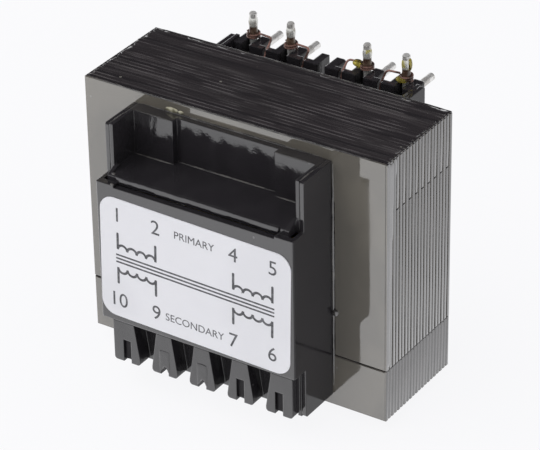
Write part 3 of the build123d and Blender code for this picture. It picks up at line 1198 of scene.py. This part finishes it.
def slot_plug(name, slot_x, seed, material, width, length, setback, arch):
    """A plug that closes a slot, in front or set back into it."""
    deselect_all()
    bpy.ops.mesh.primitive_cube_add(size=1)
    plug = start_piece(name)
    edit(plug)
    bpy.ops.mesh.select_all(action="SELECT")
    bpy.ops.mesh.subdivide(number_cuts=7)
    for column in (0.3, 0.2):
        select_points(plug, lambda p: abs(p.x) < column)
        bpy.ops.transform.resize(value=(1, 1 - arch, 1), center_override=(0, 0.5, 0))
    bpy.ops.mesh.select_all(action="SELECT")
    make_uneven(offset=0.03, normal=0.5, seed=seed, rounds=2)
    deselect_all()
    plug.scale = (width, length, plug_depth)
    plug.location = (slot_x, comb_end + plug_foot + length / 2, bobbin_front - plug_depth / 2 - setback)
    return finish_piece(plug, material, smooth_deg=60)


for word, place, seed in (("left", -1, 11), ("middle", 0, 12)):
    slot_plug(
        f"slot_plug_{word}", place * pin_pitch, seed, bobbin_paint,
        width=1.45 * slot_width, length=slot_length + spread_past_root, setback=-plug_rise, arch=0.15,
    )
for place, seed in ((-2, 13), (1, 14), (2, 15)):
    slot_plug(
        f"slot_plug_deep_{place + 3}", place * pin_pitch, seed, deep_paint,
        width=1.04 * slot_width, length=slot_length, setback=deep_setback, arch=0.01,
    )
print("plugs: 5")

# %% [markdown]
# Small drops are flattened balls that sit on a surface. Each has its place, its size
# and the way that it is flattened: across the face that carries it. The list gives the
# place from a stub or a face, the three radii in mm, and what the drop is made of.

# %% Drops
def set_drop(name, place, size_mm, material, seed):
    """A ball pressed flat, with a slightly uneven outline."""
    deselect_all()
    bpy.ops.mesh.primitive_uv_sphere_add(segments=28, ring_count=16, radius=1)
    drop = start_piece(name)
    edit(drop)
    bpy.ops.mesh.select_all(action="SELECT")
    make_uneven(offset=0.12, normal=1.0, seed=seed, rounds=4)
    deselect_all()
    drop.scale = Vector(size_mm) * MM
    drop.location = place
    return finish_piece(drop, material, smooth_deg=80)


def beside(corner, x_mm, y_mm, z_mm):
    """A place given in mm from a corner or an axis."""
    return Vector(corner) + Vector((x_mm, y_mm, z_mm)) * MM


stubs = {}
for number in (3, 4):
    low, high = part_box(f"primary_solder_{number}")
    stubs[number] = ((low.x + high.x) / 2, low.y, (low.z + high.z) / 2)
core_face = (0, 0, core_front)
ear_top = (0, 0, cover_high.z)
lip_edge = (0, tray_floor, bobbin_front)
varnish = (drop_paint, "lamination")
flux = (flux_paint, "solder")
residue = (dry_flux, "solder")
drops = (
    ("varnish_drop_core", beside(core_face, 12.95, -4.1, 0.05), (0.4, 0.45, 0.25), varnish),
    ("flux_drop_pin_3", beside(stubs[3], -1.15, 0.3, 0), (0.75, 0.5, 0.45), flux),
    ("flux_drop_pin_4", beside(stubs[4], 0.45, 1.9, 0), (0.28, 0.8, 0.3), flux),
    ("flux_drop_root_4", beside(stubs[4], -0.3, 0.1, 0.5), (0.8, 0.4, 0.5), flux),
    ("flux_residue_left", beside(core_face, -7.7, 14.95, 0.03), (0.85, 0.32, 0.14), residue),
    ("flux_residue_right", beside(core_face, -6.5, 14.95, 0.03), (0.4, 0.2, 0.1), residue),
    ("varnish_chip_ear", beside(ear_top, -10.5, 8.6, -0.12), (0.24, 0.14, 0.14), varnish),
    ("varnish_chip_lip", beside(lip_edge, -10.9, 0.05, -0.2), (0.22, 0.16, 0.2), varnish),
)
first_seed = 21
for count, (name, place, size_mm, (material, slot)) in enumerate(drops):
    set_drop(name, place, size_mm, material, first_seed + count)
print("drops:", len(drops))

# %% [markdown]
# ## Edges of the sheets
# The stampings were stacked with every second one turned round, so the gap between an
# E and its I is low on one sheet and high on the next. Each punched edge is
# rounded, and a groove shows between neighbours. An edge starts as a block as big as
# the core. We keep its band of outer faces, open where the sheet goes on, give it
# thickness, round it, and repeat it on every second sheet. The top was pressed flat,
# so the bands end just under it.

# %% Proud edges
proud_width = 0.46 * MM
proud_foot = 0.1 * MM
edge_rounding = 0.45
joint_y = core_low.y
proud_count = round(((core_high.z - core_low.z) / sheet_pitch + 1) / 2)


def proud_edges(name, low_y, high_y, height, open_ends, first, count, material):
    """Bands that stand out by their height on every second sheet, with open ends."""
    deselect_all()
    bpy.ops.mesh.primitive_cube_add(size=1)
    band = start_piece(name)
    width = core_high.x - core_low.x + 2 * height
    band.scale = (width, high_y - low_y, proud_width)
    band.location = (0, (low_y + high_y) / 2, core_low.z + (first + 0.5) * sheet_pitch)
    band.select_set(True)
    apply_transform()
    edit(band)
    removed = {"stack": lambda n: abs(n.z) > 0.5, "top": lambda n: n.y > 0.5, "bottom": lambda n: n.y < -0.5}
    for end in ("stack", *open_ends):
        select_faces(band, removed[end])
        bpy.ops.mesh.delete(type="FACE")
    deselect_all()
    thick = band.modifiers.new("thick", "SOLIDIFY")
    thick.thickness = height + proud_foot
    thick.offset = -1
    thick.use_even_offset = True
    rounded = band.modifiers.new("rounded", "BEVEL")
    rounded.width = height * edge_rounding
    rounded.segments = 2
    rounded.limit_method = "ANGLE"
    repeat_piece(band, count, (0, 0, 2 * sheet_pitch))
    apply_modifiers(band)
    return finish_piece(band, material, smooth_deg=35)


end_y = core_high.y - 0.08 * MM
split_y = joint_y - 0.1 * MM
upper_joint_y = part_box("i_laminations_down")[0].y
low_end_y = upper_joint_y - 0.12 * MM
foot_e = core_bottom - 0.12 * MM
foot_i = core_bottom - 0.1 * MM
bands = (
    ("proud_edges_e", joint_y, end_y, 0.13, ("bottom",), 0, lamination_paint),
    ("proud_edges_i", foot_e, split_y, 0.07, ("top",), 0, dipped_paint),
    ("low_edges_e", joint_y, low_end_y, 0.11, ("top", "bottom"), 1, lamination_paint),
    ("low_edges_top", upper_joint_y, end_y, 0.09, ("bottom",), 1, lamination_paint),
    ("low_edges_i", foot_i, split_y, 0.062, ("top",), 1, dipped_paint),
)
for name, low_y, high_y, height_mm, open_ends, first, material in bands:
    proud_edges(name, low_y, high_y, height_mm * MM, open_ends, first, proud_count - first, material)
print("edges:", 2 * proud_count - 1, "upper joint at y in mm:", round(upper_joint_y / MM, 2))

# %% [markdown]
# On top the varnish filled the grooves between the sheets nearly level, so only fine
# lines tell where they are. This skin starts as a fine plate. Only the points at its
# rim move a very little, as in a film that stopped there.

# %% Varnish skin on the top
core_size = core_high - core_low
core_middle_z = (core_low.z + core_high.z) / 2
top_skin_depth = 0.03 * MM
top_skin_sink = 0.012 * MM
top_skin_share = (0.985, 0.965)

top_skin = start_plate("varnish_skin_top", 80, 40, thickness=1)
select_points(top_skin, lambda p: abs(p.y) > 0.49 or abs(p.x) > 0.49)
make_uneven(offset=0.01, normal=0.0, seed=33, rounds=0)
face_outward()
deselect_all()
top_skin.scale = (core_size.x * top_skin_share[0], core_size.z * top_skin_share[1], top_skin_depth)
top_skin.rotation_euler = (math.radians(-90), 0, 0)
top_skin.location = (0, core_high.y - top_skin_sink, core_middle_z)
top_skin = finish_piece(top_skin, lamination_paint, smooth_deg=60)
print("top skin faces:", len(top_skin.data.polygons))

# %% [markdown]
# The core was dipped standing on its lower yoke, so a thicker skin of varnish covers
# the sheets' edges there. It is a thin plate with a wavy upper edge, and it lies on
# the side of the core.

# %% Varnish skin on the sides
skin_depth = 0.05 * MM
skin_top = -9.7 * MM
skin_share = 0.97


def side_skin(name, side, seed):
    """A skin on the right side of the core, or on the left one with a side of -1."""
    skin = start_plate(name, 40, 24, thickness=0.5)
    select_points(skin, lambda p: p.y > 0.47)
    make_uneven(offset=0.05, normal=0.0, seed=seed, rounds=0)
    bpy.ops.mesh.select_all(action="SELECT")
    bpy.ops.mesh.vertices_smooth(factor=0.4, repeat=2)
    face_outward()
    deselect_all()
    height = skin_top - core_bottom
    skin.scale = (core_size.z * skin_share, height * skin_share, 2 * skin_depth)
    skin.rotation_euler = (0, math.radians(side * 90), 0)
    skin.location = (core_high.x if side > 0 else core_low.x, core_bottom + height / 2, core_middle_z)
    return finish_piece(skin, dipped_paint, smooth_deg=60)


side_skin("varnish_skin_right", 1, 31)
side_skin("varnish_skin_left", -1, 32)
print("skins on the sides: 2")

# %% [markdown]
# One thick run of varnish came down the front right corner and filled the grooves of
# the first sheets. It is a plate that gets narrower from the top to the bottom. Towards
# its free edge it gets thinner, so the sheets come out of it little by little.

# %% Varnish run on the corner
run_width = 2.6 * MM
run_depth = 0.17 * MM
run_low_y = joint_y + 0.1 * MM
run_high_y = core_high.y - 0.1 * MM
run_x = core_high.x - 0.02 * MM

corner_run = start_plate("varnish_run_corner", 12, 60, thickness=1)
for reach, fall in ((-0.1, 0.1), (0.1, 0.15), (0.25, 0.2), (0.4, 0.25)):
    select_points(corner_run, lambda p: p.x > reach and p.z > 0.2)
    bpy.ops.transform.translate(value=(0, 0, -fall))
for reach in (0.42, 0.3, 0.15, -0.05, -0.3):
    select_points(corner_run, lambda p: p.y < reach)
    bpy.ops.transform.resize(value=(0.84, 1, 1), center_override=(-0.5, 0, 0))
select_points(corner_run, lambda p: p.x > -0.45)
make_uneven(offset=0.03, normal=0.0, seed=34, rounds=4)
face_outward()
deselect_all()
corner_run.scale = (run_width, run_high_y - run_low_y, run_depth)
corner_run.rotation_euler = (0, math.radians(90), 0)
corner_run.location = (run_x, (run_low_y + run_high_y) / 2, core_front - run_width / 2)
corner_run = finish_piece(corner_run, lamination_paint, smooth_deg=60)
print("run faces:", len(corner_run.data.polygons))
